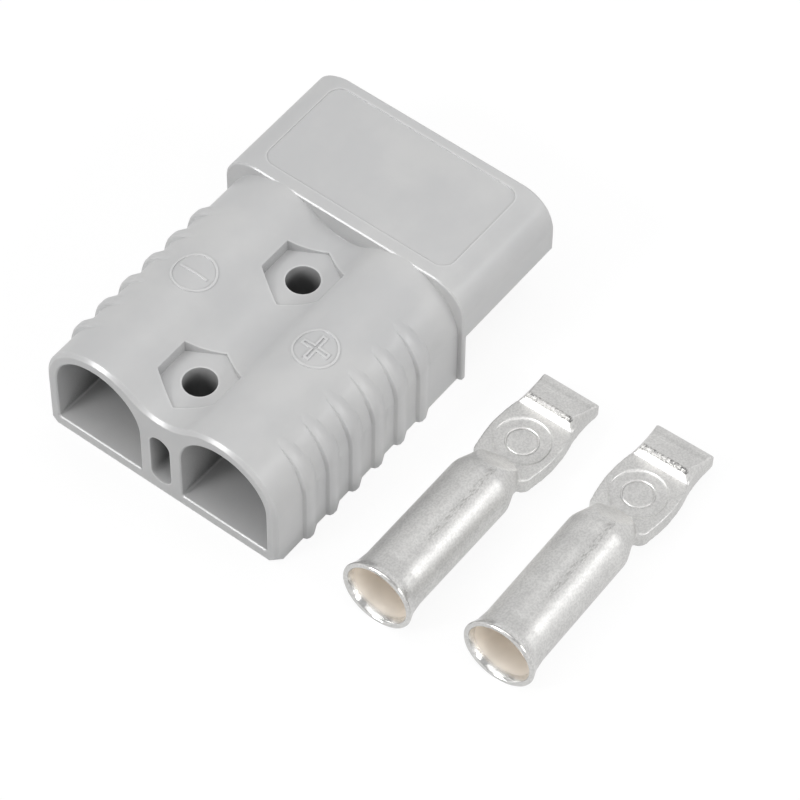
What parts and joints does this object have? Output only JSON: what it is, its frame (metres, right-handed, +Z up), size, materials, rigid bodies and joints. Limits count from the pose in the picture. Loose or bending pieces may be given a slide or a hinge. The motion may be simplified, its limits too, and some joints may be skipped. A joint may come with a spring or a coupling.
{
  "type": "genderless power connector",
  "caption": "Flat moulded connector with ribbed body, hooded mating end, paired cable entries and loose crimp contacts; joins heavy battery cables and mates with its own kind.",
  "frame": {"origin": "midway between the two mounting holes, on the flat base", "axes": "+X out of the mating end, +Z up out of the base, +Y towards the minus pole"},
  "size_m": [0.0801, 0.1064, 0.0256],
  "materials": {
    "housing_plastic": "satin moulded plastic",
    "spring_steel": "rolled stainless strip",
    "contact_metal": "bright silver plate"
  },
  "bodies": {
    "root": {"housing": "housing_plastic", "spring_minus": "spring_steel", "spring_plus": "spring_steel", "contact_a": "contact_metal", "contact_b": "contact_metal"}
  },
  "joints": []
}
